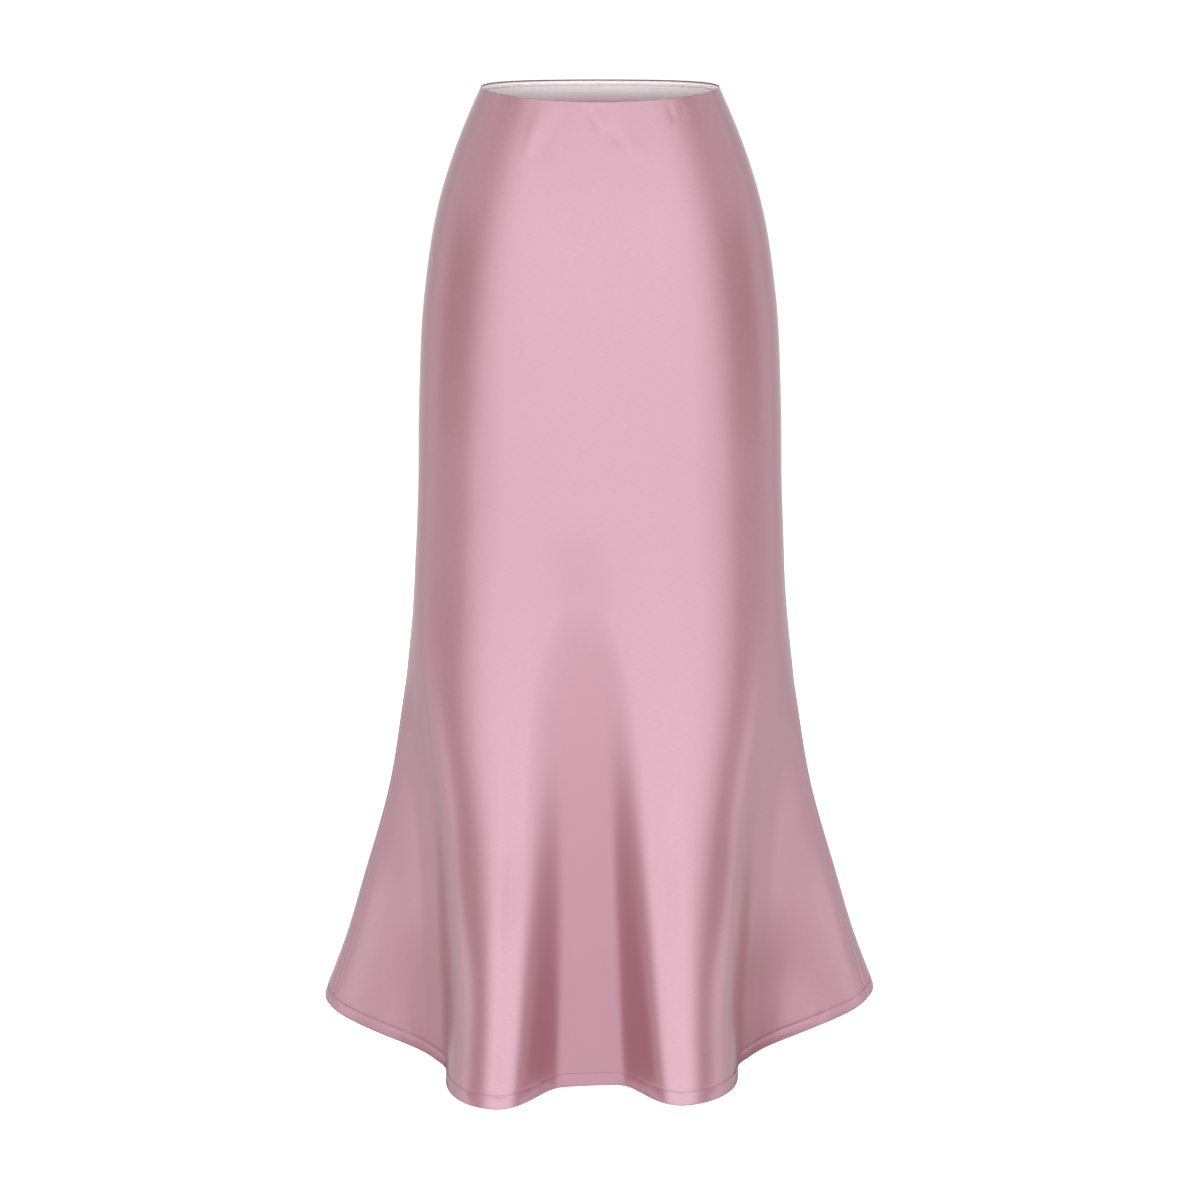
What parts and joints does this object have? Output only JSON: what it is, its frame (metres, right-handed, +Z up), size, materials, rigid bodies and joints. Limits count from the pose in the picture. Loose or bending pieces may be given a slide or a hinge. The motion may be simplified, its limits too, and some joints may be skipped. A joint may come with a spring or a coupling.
{
  "type": "mermaid fishtail skirt",
  "caption": "Long bias-cut satin skirt that is smooth over the hips and flares from the knee in deep folds, filled out as worn, open at waist and hem.",
  "frame": {"origin": "middle of the waist edge, level with its side seams, where the wearer holds the skirt up", "axes": "+Z up, the front faces -Y, +X towards the wearer's left"},
  "size_m": [0.5737, 0.541, 0.9595],
  "materials": {
    "satin": "polyester satin, smooth and lustrous, bias cut",
    "elastic": "woven elastic, matt, fine ribs along the band"
  },
  "bodies": {
    "root": {"front_panel": "satin", "back_panel": "satin", "waist_elastic": "elastic"}
  },
  "joints": []
}
